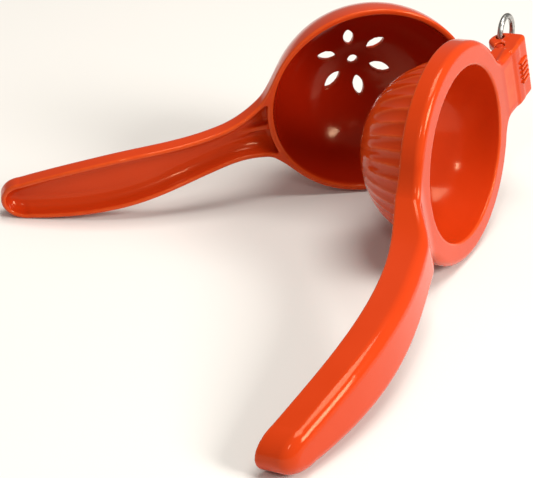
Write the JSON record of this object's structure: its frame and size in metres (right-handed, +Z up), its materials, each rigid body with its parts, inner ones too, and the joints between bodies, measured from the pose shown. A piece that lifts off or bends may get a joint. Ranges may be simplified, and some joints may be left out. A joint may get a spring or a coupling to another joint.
{
  "type": "handheld citrus press",
  "caption": "Two-arm hand citrus squeezer: drain-holed bowl, fluted hollow dome, long channel handles hinged on a pin, with a wire hanging ring.",
  "frame": {"origin": "centre of the bounding box's footprint, on the surface the press lies on", "axes": "+Z up as it lies on its side, half open; -X along the strainer arm's handle; the bowl's mouth faces -Y"},
  "size_m": [0.233, 0.241, 0.093],
  "materials": {
    "enamel": "gloss orange-red enamel on cast aluminium",
    "pin_steel": "plain steel, ends flush with the ears",
    "ring_steel": "bright steel wire"
  },
  "bodies": {
    "strainer_body": {"strainer_arm": "enamel"},
    "press_body": {"press_arm": "enamel", "hinge_pin": "pin_steel"},
    "ring_body": {"hanging_ring": "ring_steel"}
  },
  "joints": [
    {"name": "press_hinge", "type": "hinge", "parent": "strainer_body", "child": "press_body", "pos_m": [0.10139, 0.07538, 0.05961], "axis": [-0.2364, -0.1068, 0.9658], "range_deg": [-53, 57]},
    {"name": "ring_swing", "type": "hinge", "parent": "press_body", "child": "ring_body", "pos_m": [0.10037, 0.08026, 0.07243], "axis": [0.2364, 0.1068, -0.9658], "range_deg": [-30, 45]}
  ]
}
